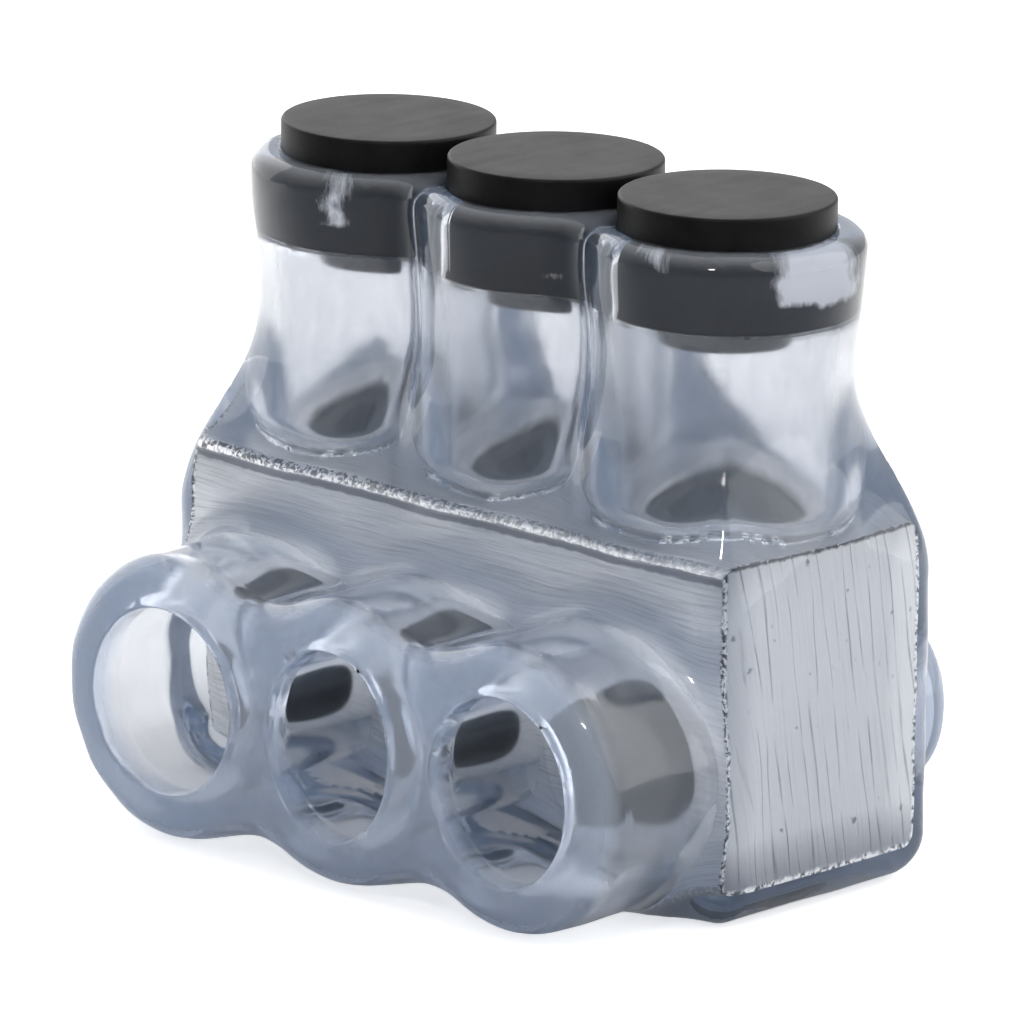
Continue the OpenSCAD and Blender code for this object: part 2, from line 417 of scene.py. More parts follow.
    def bump(self, height: Socket, strength: float, distance: float) -> Socket:
        """Normal bent by a height; distance is the height of 1, in metres."""
        node = self.add("ShaderNodeBump", {"Height": height, "Strength": strength, "Distance": distance})
        return node.outputs["Normal"]

    def finish(self, surface: bpy.types.Node, volume: bpy.types.Node | None = None) -> bpy.types.Material:
        """Joins the surface and the volume to the output.

        Args:
            surface: Shader of the surface.
            volume: Shader of what is within, where there is one.

        Returns:
            The material.
        """
        self.tree.links.new(surface.outputs[0], self.output.inputs["Surface"])
        if volume is not None:
            self.tree.links.new(volume.outputs[0], self.output.inputs["Volume"])
        return self.material


@dataclass(frozen=True)
class ClearVinyl:
    """Soft vinyl that is glossy outside, clear blue within, and a little dull on the walls of its bores."""

    tint: Colour = (0.94, 0.95, 0.965, 1.0)
    dull_tint: Colour = (0.82, 0.84, 0.88, 1.0)
    cloud_tint: Colour = (0.72, 0.81, 0.96, 1.0)
    roughness: float = 0.05
    dull_roughness: float = 0.27
    ior: float = 1.50
    clearness: float = 0.99
    dull_clearness: float = 0.89
    cloudiness: float = 0.26
    specks: Grain = Grain(650.0, 3.0, 0.6)
    speck_stretch: Triple = (1.0, 1.0, 0.5)
    speck_fit: Fit = (0.35, 0.70, 0.55, 1.0)
    absorbed: Colour = (0.167, 0.375, 0.708, 1.0)
    absorption: float = 27.0
    milk: Colour = (0.52, 0.73, 1.0, 1.0)
    milkiness: float = 23.0
    forward: float = 0.35

    def material(self) -> bpy.types.Material:
        """Builds the nodes.

        Returns:
            The material.
        """
        tree = NodeTree("clear_vinyl")
        specks = tree.noise(tree.scaled(self.speck_stretch), self.specks)
        dull = tree.product(tree.attribute(DULLNESS), tree.fit(specks, *self.speck_fit))
        cloud = tree.attribute(CLOUD)
        clearness = tree.fit(dull, 0.0, 1.0, self.clearness, self.dull_clearness)
        surface = tree.add("ShaderNodeBsdfPrincipled", {
            "Base Color": tree.mix(cloud, tree.mix(dull, self.tint, self.dull_tint), self.cloud_tint),
            "Roughness": tree.fit(dull, 0.0, 1.0, self.roughness, self.dull_roughness),
            "IOR": self.ior,
            "Transmission Weight": tree.math("MULTIPLY_ADD", cloud, -self.cloudiness, clearness)})
        absorb = tree.add("ShaderNodeVolumeAbsorption", {
            "Color": self.absorbed, "Density": self.absorption})
        scatter = tree.add("ShaderNodeVolumeScatter", {
            "Color": self.milk, "Density": self.milkiness, "Anisotropy": self.forward})
        volume = tree.add("ShaderNodeAddShader", {0: absorb.outputs[0], 1: scatter.outputs[0]})
        return tree.finish(surface, volume)


@dataclass(frozen=True)
class MouldedRubber:
    """Black rubber: fine grain, top lighter from dust and painted light, pale patches of painted reflection.
    """

    body: Colour = (0.0035, 0.0035, 0.0038, 1.0)
    cloudy: Colour = (0.009, 0.009, 0.010, 1.0)
    # Colour of the top: dust, and painted light from above.
    dust_and_top_light: Colour = (0.085, 0.084, 0.086, 1.0)
    powder: Colour = (0.85, 0.86, 0.90, 1.0)
    roughness: float = 0.42
    shine: float = 0.14
    gap_reflection_metallic: float = 0.35
    clouds: Grain = Grain(160.0, 4.0, 0.6)
    cloud_fit: Pair = (0.35, 0.7)
    grain: Grain = Grain(2600.0, 3.0, 0.6)
    rubbing: Grain = Grain(520.0, 4.0, 0.65)
    rubbing_stretch: Triple = (1.0, 0.12, 1.0)
    rubbing_turn: Triple = (0.0, 0.0, 0.5)
    top_slope: Pair = (0.7, 0.95)
    grain_in_dust: float = 0.5
    dust_fit: Fit = (0.8, 1.7, 0.35, 1.0)
    flecks: Grain = Grain(900.0, 5.0, 0.75)
    fleck_stretch: Triple = (1.0, 1.0, 0.45)
    gap_reflection_fit: Fit = (0.86, 1.30, 0.0, 0.85)
    gap_reflection_edge: Pair = (0.02, 0.12)
    relief: Pair = (0.5, 0.00005)

    def material(self) -> bpy.types.Material:
        """Builds the nodes.

        Returns:
            The material.
        """
        tree = NodeTree("moulded_rubber")
        cloud = tree.noise(tree.place(), self.clouds)
        grain = tree.noise(tree.place(), self.grain)
        rubbed = tree.noise(tree.scaled(self.rubbing_stretch, self.rubbing_turn), self.rubbing)
        worn = tree.total(cloud, rubbed, tree.product(grain, self.grain_in_dust))
        # Faces that point up are lighter: partly dust, partly painted light from above.
        top_dust_and_light = tree.product(tree.fit(tree.normal()[2], *self.top_slope), tree.fit(worn, *self.dust_fit))
        colour = tree.mix(tree.fit(cloud, *self.cloud_fit), self.body, self.cloudy)
        colour = tree.mix(top_dust_and_light, colour, self.dust_and_top_light)
        # Painted reflection: pale, partly metallic patches stand in for light mirrored by air between plug
        # and vinyl.
        patch = tree.attribute(GAP_REFLECTION)
        fleck = tree.noise(tree.scaled(self.fleck_stretch), self.flecks)
        powder = tree.product(tree.fit(tree.total(patch, fleck), *self.gap_reflection_fit),
                              tree.fit(patch, *self.gap_reflection_edge))
        surface = tree.add("ShaderNodeBsdfPrincipled", {
            "Base Color": tree.mix(powder, colour, self.powder), "Roughness": self.roughness,
            "Specular IOR Level": self.shine, "Metallic": tree.product(powder, self.gap_reflection_metallic),
            "Normal": tree.bump(grain, *self.relief)})
        return tree.finish(surface)


@dataclass(frozen=True)
class Spot:
    """The shaded point on the block: its place in millimetres, whether it is on a sawn end or on another
    face, and how much it faces up or down."""

    x: Socket
    y: Socket
    z: Socket
    is_end: Socket
    is_face: Socket
    steep: Socket


@dataclass(frozen=True)
class SawnAluminium:
    """Extruded aluminium: fine lines along its faces, slanted saw lines and pits on its ends, a speckled
    burr round each end, dark joint compound in its bores, and painted shade under its upper edges and on
    the lower and front sides of its ends."""

    layout: Layout
    metal: Colour = (0.80, 0.805, 0.81, 1.0)
    # Colour of the dark lines, also used for painted shade.
    line: Colour = (0.27, 0.28, 0.31, 1.0)
    compound: Colour = (0.012, 0.013, 0.015, 1.0)
    burr_dark: Colour = (0.05, 0.05, 0.06, 1.0)
    burr_bright: Colour = (0.95, 0.95, 0.95, 1.0)
    roughness: float = 0.40
    compound_roughness: float = 0.80
    metallic: float = 0.85
    end_slope: Pair = (0.6, 0.8)
    wire_fade: Pair = (0.15, 0.3)
    screw_fade: Pair = (0.1, 0.2)
    screw_top: Pair = (0.9, 0.4)
    saw_gap: float = 1.9
    saw_slant: float = 0.165
    saw_width: float = 0.16
    saw_core: float = 0.25
    saw_drift: float = 3.2
    drift_along: float = 0.10
    drift: Grain = Grain(0.33, 2.0)
    saw_row: float = 5.37
    saw_along: float = 0.11
    saw_strength: Grain = Grain(1.0, 2.0)
    saw_fit: Fit = (0.38, 0.62, 0.0, 0.85)
    edge_ragged: float = 0.5
    edge_rise: Pair = (1.3, 1.5)
    edge_fall: Fit = (2.0, 2.4, 1.5, 0.0)
    speckle: Grain = Grain(1900.0, 2.0, 0.7)
    raggedness: Grain = Grain(700.0, 2.0, 0.6)
    burr_ragged: float = 0.7
    burr_fit: Fit = (-0.15, 0.15, 1.0, 0.0)
    burr_lean: Fit = (1.6, 1.0, 0.03, -0.14)
    burr_contrast: Pair = (0.44, 0.56)
    drawn_start: Pair = (0.12, 0.35)
    drawn_end: Fit = (0.98, 0.90, 0.0, 1.0)
    drawn_along: Pair = (0.9, 0.25)
    stretch: float = 0.03
    end_grain: Grain = Grain(3.0, 3.0, 0.6)
    end_fit: Fit = (0.5, 0.8, 0.0, 0.22)
    face_grain: Grain = Grain(4.5, 4.0, 0.65)
    face_fit: Fit = (0.45, 0.75, 0.0, 0.55)
    pits: Grain = Grain(520.0, 2.0, 0.4)
    pit_fit: Pair = (0.70, 0.76)
    low_shade: Fit = (0.8, 5.5, 0.80, 0.0)
    front_shade: Fit = (0.0, 4.0, 0.25, 0.0)
    smear: Grain = Grain(240.0, 4.0, 0.6)
    smear_fit: Fit = (0.70, 0.80, 1.0, 0.35)
    fleck_fit: Fit = (0.66, 0.74, 1.0, 0.45)
    relief: Pair = (0.6, 0.00006)

    def bore_share(self, tree: NodeTree, spot: Spot) -> Socket:
        """One inside the wire bores and the screw holes, zero elsewhere.

        In words: the place along X is folded into one pitch, and the share falls with the distance from
        the axis of the nearest port or screw.

        Args:
            tree: Tree that gets the nodes.
            spot: The shaded point.

        Returns:
            The share that is bore.
        """
        lay = self.layout
        pitch = lay.ports[1] - lay.ports[0]
        near = tree.math("WRAP", spot.x, pitch / 2, -pitch / 2)
        wire = tree.length(near, tree.math("SUBTRACT", spot.z, lay.port_z))
        screw = tree.length(near, spot.y)
        in_wire = tree.fit(wire, *(lay.wire_r + fade for fade in self.wire_fade), 1.0, 0.0)
        in_screw = tree.fit(screw, *(lay.screw_r + fade for fade in self.screw_fade), 1.0, 0.0)
        below = tree.fit(spot.z, *(lay.block_high[2] - down for down in self.screw_top), 1.0, 0.0)
        return tree.math("MAXIMUM", in_wire, tree.product(in_screw, below))

    def saw_lines(self, tree: NodeTree, spot: Spot) -> Socket:
        """Thin slanted lines at uneven distances that fade in and out along their length.

        In words: the place across the lines, pushed about by slow noise, is cut into cells of one gap,
        with a line in the middle of each, as strong as the noise of its cell.

        Args:
            tree: Tree that gets the nodes.
            spot: The shaded point.

        Returns:
            Strength of the lines.
        """
        across = tree.math("MULTIPLY_ADD", spot.z, self.saw_slant, spot.y)
        drift = tree.noise(tree.vector(across, tree.product(spot.z, self.drift_along)), self.drift)
        cell = tree.math("DIVIDE", tree.math("MULTIPLY_ADD", drift, self.saw_drift, across), self.saw_gap)
        away = tree.math("ABSOLUTE", tree.math("SUBTRACT", tree.math("FRACT", cell), 0.5))
        width = self.saw_width / self.saw_gap
        thin = tree.fit(away, self.saw_core * width, width, 1.0, 0.0)
        row = tree.product(tree.math("FLOOR", cell), self.saw_row)
        strength = tree.noise(tree.vector(row, tree.product(spot.z, self.saw_along)), self.saw_strength)
        return tree.product(thin, tree.fit(strength, *self.saw_fit))

    def edge_shade_line(self, tree: NodeTree, spot: Spot, ragged: Socket) -> Socket:
        """Painted shade: a dark line along the lower side of the rounded upper edges.

        Args:
            tree: Tree that gets the nodes.
            spot: The shaded point.
            ragged: Noise that makes its outline ragged.

        Returns:
            Strength of the line.
        """
        below = tree.math("SUBTRACT", self.layout.block_high[2], spot.z)
        depth = tree.math("MULTIPLY_ADD", ragged, self.edge_ragged, below)
        return tree.product(tree.fit(depth, *self.edge_rise), tree.fit(depth, *self.edge_fall))

    def burr_share(self, tree: NodeTree, spot: Spot, ragged: Socket) -> Socket:
        """One where the saw left a burr, along the outline of each end and the ends of each face.

        In words: the distance to the nearest edge, less the noise, falls from one to zero.

        Args:
            tree: Tree that gets the nodes.
            spot: The shaded point.
            ragged: Noise that makes its outline ragged.

        Returns:
            The share that is burr.
        """
        lay = self.layout
        middle = (lay.block_low[2] + lay.block_high[2]) / 2
        half_z = (lay.block_high[2] - lay.block_low[2]) / 2
        to_side = tree.math("SUBTRACT", lay.block_high[1], tree.math("ABSOLUTE", spot.y))
        from_middle = tree.math("ABSOLUTE", tree.math("SUBTRACT", spot.z, middle))
        to_flat = tree.math("SUBTRACT", half_z, from_middle)
        to_end = tree.math("SUBTRACT", lay.block_high[0], tree.math("ABSOLUTE", spot.x))
        rim = tree.product(spot.is_end, tree.math("MINIMUM", to_side, to_flat))
        rim = tree.math("MULTIPLY_ADD", spot.is_face, to_end, rim)
        return tree.fit(tree.math("MULTIPLY_ADD", ragged, -self.burr_ragged, rim), *self.burr_fit)

    def drawn_share(self, tree: NodeTree, spot: Spot) -> Socket:
        """One on the rounded long edges, which drawing left bright and speckled, less towards +X.

        Args:
            tree: Tree that gets the nodes.
            spot: The shaded point.

        Returns:
            The share that is speckled.
        """
        half_x = self.layout.block_high[0]
        slope = tree.product(tree.fit(spot.steep, *self.drawn_start), tree.fit(spot.steep, *self.drawn_end))
        return tree.product(slope, tree.fit(spot.x, -half_x, half_x, *self.drawn_along))

    def burr_colour(self, tree: NodeTree, spot: Spot, speckle: Socket) -> Socket:
        """Dark and bright speckles, with more dark ones at the top of an end.

        Args:
            tree: Tree that gets the nodes.
            spot: The shaded point.
            speckle: Fine noise that tells dark from bright.

        Returns:
            Colour of the burr.
        """
        start, end, low, high = self.burr_lean
        top = self.layout.block_high[2]
        lean = tree.product(spot.is_end, tree.fit(spot.z, top - start, top - end, low, high))
        share = tree.fit(tree.total(speckle, lean), *self.burr_contrast)
        return tree.mix(share, self.burr_dark, self.burr_bright)

    def shade(self, tree: NodeTree, spot: Spot) -> Socket:
        """Darker metal along the lower and the front side of an end.

        Args:
            tree: Tree that gets the nodes.
            spot: The shaded point.

        Returns:
            Strength of the shade.
        """
        lay = self.layout
        low, low_end, *low_to = self.low_shade
        front, front_end, *front_to = self.front_shade
        base, side = lay.block_low[2], -lay.block_high[1]
        under = tree.fit(spot.z, base + low, base + low_end, *low_to)
        ahead = tree.fit(spot.y, side + front, side + front_end, *front_to)
        return tree.product(spot.is_end, tree.total(under, ahead))

    def material(self) -> bpy.types.Material:
        """Builds the nodes.

        Returns:
            The material.
        """
        tree = NodeTree("sawn_aluminium")
        normal = tree.normal()
        is_end = tree.fit(tree.math("ABSOLUTE", normal[0]), *self.end_slope)
        spot = Spot(*tree.parts(tree.millimetres()), is_end, tree.math("SUBTRACT", 1.0, is_end),
                    tree.math("ABSOLUTE", normal[2]))
        speckle = tree.noise(tree.place(), self.speckle)
        ragged = tree.noise(tree.place(), self.raggedness)
        burr = self.burr_share(tree, spot, ragged)
        across = tree.math("MULTIPLY_ADD", spot.z, self.saw_slant, spot.y)
        fine_end = tree.noise(tree.vector(0.0, across, tree.product(spot.z, self.stretch)), self.end_grain)
        along = tree.product(spot.x, self.stretch)
        fine_face = tree.noise(tree.vector(along, spot.y, spot.z), self.face_grain)
        pits = tree.noise(tree.place(), self.pits)
        on_end = tree.total(self.saw_lines(tree, spot), tree.fit(fine_end, *self.end_fit),
                            tree.fit(pits, *self.pit_fit))
        # Real lines and grain, plus painted shade: the line under the upper edges and the darker lower and
        # front sides of the ends.
        on_face = tree.total(tree.fit(fine_face, *self.face_fit), self.edge_shade_line(tree, spot, ragged))
        dark = tree.total(tree.product(spot.is_end, on_end), tree.product(spot.is_face, on_face),
                          self.shade(tree, spot))
        colour = tree.mix(tree.math("MINIMUM", dark, 1.0), self.metal, self.line)
        edges = tree.math("MAXIMUM", burr, self.drawn_share(tree, spot))
        colour = tree.mix(edges, colour, self.burr_colour(tree, spot, speckle))
        bore = self.bore_share(tree, spot)
        smear = tree.noise(tree.place(), self.smear)
        covered = tree.product(tree.fit(smear, *self.smear_fit), tree.fit(speckle, *self.fleck_fit))
        height = tree.total(fine_face, tree.product(spot.is_end, fine_end), tree.product(burr, speckle))
        surface = tree.add("ShaderNodeBsdfPrincipled", {
            "Base Color": tree.mix(tree.product(bore, covered), colour, self.compound),
            "Metallic": tree.fit(bore, 0.0, 1.0, self.metallic, 0.0),
            "Roughness": tree.fit(bore, 0.0, 1.0, self.roughness, self.compound_roughness),
            "Normal": tree.bump(height, *self.relief)})
        return tree.finish(surface)


@dataclass(frozen=True)
class GreasedScrew:
    """Screw metal that is dark with joint compound and glints where it shows through."""

    grease: Colour = (0.030, 0.031, 0.035, 1.0)
    metal: Colour = (0.24, 0.245, 0.26, 1.0)
    roughness: float = 0.38
    metallic: float = 0.6
    patches: Grain = Grain(900.0, 5.0, 0.65)
    patch_fit: Pair = (0.56, 0.72)
    relief: Pair = (0.5, 0.0002)

    def material(self) -> bpy.types.Material:
        """Builds the nodes.

        Returns:
            The material.
        """
        tree = NodeTree("greased_screw")
        patches = tree.noise(tree.place(), self.patches)
        surface = tree.add("ShaderNodeBsdfPrincipled", {
            "Base Color": tree.mix(tree.fit(patches, *self.patch_fit), self.grease, self.metal),
            "Metallic": self.metallic, "Roughness": self.roughness,
            "Normal": tree.bump(patches, *self.relief)})
        return tree.finish(surface)


@dataclass(frozen=True)
class LevelSurface:
    """Closed mesh of the surface on which a distance function is zero, with its creases kept."""

    axes: tuple[Array, Array, Array]
    probe: float = 0.02
    least: float = 1e-12
    secant_steps: int = 3
    batches: int = 16
    weak_share: float = 0.08
    least_power: float = 1e-9
    inset: float = 0.15

    def slope(self, distance: Distance, points: Array) -> Array:
        """Unit slope of the distance at points, by central differences.

        Args:
            distance: Function from points to signed distances.
            points: Points as rows.

        Returns:
            Unit vectors as rows.
        """
        step = np.eye(3) * self.probe
        slope = np.stack([distance(points + d) - distance(points - d) for d in step], axis=-1)
        return slope / np.maximum(np.linalg.norm(slope, axis=-1, keepdims=True), self.least)

    def crossings(self, distance: Distance, values: Array, axis: int) -> tuple[Array, Array, Array]:
        """Points where the surface cuts the grid's edges along one axis, by a few secant steps.

        Args:
            distance: Function from points to signed distances.
            values: Distances at the grid's nodes.
            axis: Axis of the edges.

        Returns:
            First nodes of the cut edges, the points, and which edges start inside.
        """
        inside = values < 0.0
        first = [slice(None)] * 3
        second = [slice(None)] * 3
        first[axis] = slice(0, -1)
        second[axis] = slice(1, None)
        cut = np.argwhere(inside[tuple(first)] != inside[tuple(second)])
        ends = cut + np.eye(3, dtype=int)[axis]
        low = np.stack([self.axes[a][cut[:, a]] for a in range(3)], axis=-1)
        high = np.stack([self.axes[a][ends[:, a]] for a in range(3)], axis=-1)
        f_low = values[tuple(cut.T)]
        f_high = values[tuple(ends.T)]
        starts_inside = f_low < 0.0
        for _ in range(self.secant_steps):
            share = (f_low / (f_low - f_high))[:, None]
            points = low + share * (high - low)
            f_mid = distance(points)
            same = (f_mid < 0.0) == (f_low < 0.0)
            low = np.where(same[:, None], points, low)
            f_low = np.where(same, f_mid, f_low)
            high = np.where(same[:, None], high, points)
            f_high = np.where(same, f_high, f_mid)
        return cut, points, starts_inside

    def cells_round(self, cut: Array, axis: int, cells: tuple[int, ...]) -> Array:
        """Numbers of the four cells round each cut edge, in turning order.

        Args:
            cut: First nodes of the cut edges.
            axis: Axis of the edges.
            cells: Numbers of cells along the three axes.

        Returns:
            Four cell numbers per edge.
        """
        b, c = (axis + 1) % 3, (axis + 2) % 3
        corners = []
        for shift_b, shift_c in ((-1, -1), (0, -1), (0, 0), (-1, 0)):
            cell = cut.copy()
            cell[:, b] += shift_b
            cell[:, c] += shift_c
            corners.append(np.ravel_multi_index(cell.T, cells))
        return np.stack(corners, axis=-1)

    def vertices(self, found: list[tuple[Array, ...]], cells: tuple[int, ...]) -> tuple[Array, Array]:
        """One vertex in each cut cell, where the planes of its cut edges meet.

        In words: the vertex lies at the mean of the cell's crossings, moved by the least-squares solution of
        the crossings' tangent planes, with weak directions left out, and is held inside its cell.

        Args:
            found: For each axis, the cells round its cut edges, the crossings and the slopes there.
            cells: Numbers of cells along the three axes.

        Returns:
            Numbers of the cut cells, and their vertices.
        """
        count = int(np.prod(cells))
        weight = np.zeros(count)
        mean = np.zeros((count, 3))
        planes = np.zeros((count, 3, 3))
        offsets = np.zeros((count, 3))
        for corners, points, _ in found:
            for cell in corners.T:
                weight += np.bincount(cell, minlength=count)
                for a in range(3):
                    mean[:, a] += np.bincount(cell, points[:, a], count)
        used = np.flatnonzero(weight)
        mean[used] /= weight[used, None]
        for corners, points, normals in found:
            for cell in corners.T:
                gap = ((points - mean[cell]) * normals).sum(axis=1)
                for a in range(3):
                    offsets[:, a] += np.bincount(cell, normals[:, a] * gap, count)
                    for d in range(3):
                        planes[:, a, d] += np.bincount(cell, normals[:, a] * normals[:, d], count)
        power, way = np.linalg.eigh(planes[used])
        strong = power > self.weak_share * power[:, 2:]
        inverse = np.where(strong, 1.0 / np.maximum(power, self.least_power), 0.0)
        move = np.einsum("nij,nj,nkj,nk->ni", way, inverse, way, offsets[used])
        cell = np.stack(np.unravel_index(used, cells), axis=-1)
        low = np.stack([self.axes[a][cell[:, a]] for a in range(3)], axis=-1)
        high = np.stack([self.axes[a][cell[:, a] + 1] for a in range(3)], axis=-1)
        return used, np.clip(mean[used] + move, low, high)

    def mesh(self, distance: Distance) -> tuple[Array, Array, Array]:
        """Makes the surface: one vertex in each cut cell, and one face round each cut edge.

        Args:
            distance: Function from points as rows to signed distances, negative inside.

        Returns:
            Vertices, four-sided faces, and the exact normals of their corners.
        """
        shape = tuple(len(axis) for axis in self.axes)
        cells = tuple(n - 1 for n in shape)
        nodes = np.stack(np.meshgrid(*self.axes, indexing="ij"), axis=-1).reshape(-1, 3)
        batches = np.array_split(nodes, self.batches)
        values = np.concatenate([distance(batch) for batch in batches]).reshape(shape)
        loops = []
        found = []
        for axis in range(3):
            cut, points, starts_inside = self.crossings(distance, values, axis)
            corners = self.cells_round(cut, axis, cells)
            loops.append(np.where(starts_inside[:, None], corners, corners[:, ::-1]))
            found.append((corners, points, self.slope(distance, points)))
        used, verts = self.vertices(found, cells)
        index = np.full(int(np.prod(cells)), -1)
        index[used] = np.arange(len(used))
        faces = index[np.concatenate(loops)]
        middle = verts[faces].mean(axis=1, keepdims=True)
        at = ((1.0 - self.inset) * verts[faces] + self.inset * middle).reshape(-1, 3)
        return verts, faces, self.slope(distance, at)


@dataclass
class Jacket:
    """Dip-moulded clear jacket: coat, flared shoulder, merged towers, merged collars and closed stubs."""

    layout: Layout
    finish: ClearVinyl = field(default_factory=ClearVinyl)
    waist_r: float = 14.7
    rim_r: float = 15.75
    rim_length: float = 15.0
    rim_edge_r: float = 2.2
    tower_join: float = 6.0
    corner_r: float = 5.0
    bottom_edge_r: float = 5.6
    flare_rise: Pair = (15.6, 18.1)
    flare_fall: Pair = (6.9, 5.6)
    collar_r: float = 16.6
    collar_sag: float = 0.3
    collar_join: float = 10.0
    collar_edge_r: float = 3.9
    collar_root_r: float = 1.0
    root_join: float = 5.0
    stub_r: float = 11.9
    stub_edge_r: float = 4.4
    stub_wall: float = 3.0
    stub_join: float = 3.0
    front_wall: float = 3.0
    tower_bore_r: float = 12.3
    collar_bore_r: float = 12.4
    throat_r: float = 4.0
    plug_gap: float = 0.04
    plug_lean: Triple = (0.0, 0.2, 0.2)
    plug_press: float = 0.30
    plug_step: Pair = (2.4, 0.8)
    bond: float = 0.3
    block_edge_r: float = 1.4
    seat_depth: float = 2.0
    foot_r: float = 3.5
    foot_film: float = 0.05
    foot_hole_r: float = 8.6
    wall_reach: float = 0.25
    cut_edge_r: float = 0.35
    cut_depth: float = 2.0
    opening_x: Triple = (10.7, 9.3, 10.2)
    opening_z: Triple = (10.8, 10.9, 10.8)
    wave: float = 0.06
    swirl: float = 0.10
    swirl_zone: Pair = (3.0, 6.0)
    spacing: float = 0.9
    margin: float = 0.7
    haze: float = 0.30
    haze_zone: Pair = (1.0, 4.0)
    lip_haze: float = 0.42
    lip_haze_zone: Pair = (3.0, 2.0)
    nub_cover: float = 0.2
    lip_cloud_zone: Pair = (3.5, 2.5)
    rim_cloud: float = 0.5
    rim_cloud_zone: Pair = (1.2, 1.0)
    stub_cloud_zone: Pair = (2.0, 2.0)

    def towers(self, p: Array) -> Array:
        """Distance to the row of merged towers, flared into the coat.

        In words: the flat distances to the merged circles and to the rounded rectangle of the coat are
        blended by height, and the result is cut by the rim's plane and by the underside with rolled edges.

        Args:
            p: Points in millimetres, as rows.

        Returns:
            One distance per point.
        """
        lay = self.layout
        x, y, z = p[:, 0], p[:, 1], p[:, 2]
        rim = ease((z - lay.jacket_high[2] + self.rim_length) / (self.rim_length - self.rim_edge_r))
        radius = self.waist_r + (self.rim_r - self.waist_r) * rim
        circles = (np.hypot(x - port, y) - radius for port in lay.ports)
        row = reduce(lambda a, b: soft_union(a, b, self.tower_join), circles)
        half_x = lay.jacket_high[0] - self.corner_r
        half_y = lay.block_high[1] + (lay.jacket_high[0] - lay.block_high[0]) - self.corner_r
        qx, qy = np.abs(x) - half_x, np.abs(y) - half_y
        inside = np.minimum(np.maximum(qx, qy), 0)
        coat = np.hypot(np.maximum(qx, 0), np.maximum(qy, 0)) + inside - self.corner_r
        across = (x - lay.jacket_low[0]) / (lay.jacket_high[0] - lay.jacket_low[0])
        rise, fall = (a + (b - a) * across for a, b in (self.flare_rise, self.flare_fall))
        share = ease((lay.block_high[2] + rise - z) / (rise + fall))
        side = (1.0 - share) * row + share * coat
        body = rounded_cut(side, z - lay.jacket_high[2], self.rim_edge_r)
        return rounded_cut(body, -z, self.bottom_edge_r)

    def collars(self, p: Array) -> Array:
        """Distance to the row of merged collars.

        In words: merged circles seen from the front, a little long below, cut by the front plane with a
        rolled edge and by the block's front.

        Args:
            p: Points in millimetres, as rows.

        Returns:
            One distance per point.
        """
        lay = self.layout
        x, y = p[:, 0], p[:, 1]
        up = p[:, 2] - lay.port_z
        up = np.where(up < 0, up * self.collar_r / (lay.port_z - self.collar_sag), up)
        circles = (np.hypot(x - port, up) - self.collar_r for port in lay.ports)
        row = reduce(lambda a, b: soft_union(a, b, self.collar_join), circles)
        row = rounded_cut(row, lay.jacket_low[1] - y, self.collar_edge_r)
        return rounded_cut(row, y - lay.block_low[1], self.collar_root_r)

    def stubs(self, p: Array) -> Array:
        """Distance to the closed stubs behind the ports: round bars with a rolled end.

        In words: the distance from the nearest port's axis less the radius, cut at the end and inside.

        Args:
            p: Points in millimetres, as rows.

        Returns:
            One distance per point.
        """
        lay = self.layout
        up = p[:, 2] - lay.port_z
        row = reduce(np.minimum, (np.hypot(p[:, 0] - port, up) - self.stub_r for port in lay.ports))
        return np.maximum(rounded_cut(row, p[:, 1] - lay.jacket_high[1], self.stub_edge_r), -p[:, 1])

    def outer(self, p: Array) -> Array:
        """Distance to the outside, with the slow waves that dipping leaves, stronger round the collars.

        In words: the waves are products of two sines each, of the place in millimetres times a frequency in
        radians per millimetre, with phases that keep the towers and the collars from looking alike.

        Args:
            p: Points in millimetres, as rows.

        Returns:
            One distance per point.
        """
        lay = self.layout
        body = soft_union(self.towers(p), self.collars(p), self.root_join)
        body = soft_union(body, self.stubs(p), self.stub_join)
        x, y, z = p[:, 0], p[:, 1], p[:, 2]
        wave = (np.sin(0.33 * x + 0.21 * z + 1.3) * np.sin(0.29 * z - 0.24 * y)
                + 0.6 * np.sin(0.61 * y + 0.37 * x) * np.cos(0.53 * z + 0.8))
        swirl = np.sin(0.46 * x - 0.30 * z + 0.25 * y) * np.sin(0.52 * z + 0.31 * y + 0.9)
        start, width = self.swirl_zone
        front = ease((lay.block_low[1] - y + start) / width)
        body = body + self.wave * (wave + 1.0) + self.swirl * front * (swirl + 1.0)
        return np.maximum(body, -z)

    def seat(self, p: Array) -> Array:
        """Distance to the block's room in the vinyl, a little smaller than the block to show no air.

        In words: the largest of the distances past a box's faces, with its long edges rounded.

        Args:
            p: Points in millimetres, as rows.

        Returns:
            One distance per point.
        """
        lay = self.layout
        q = np.maximum(lay.block_low + self.bond - p, p - lay.block_high + self.bond)
        return np.maximum(rounded_cut(q[:, 1], q[:, 2], self.block_edge_r - self.bond), q[:, 0])

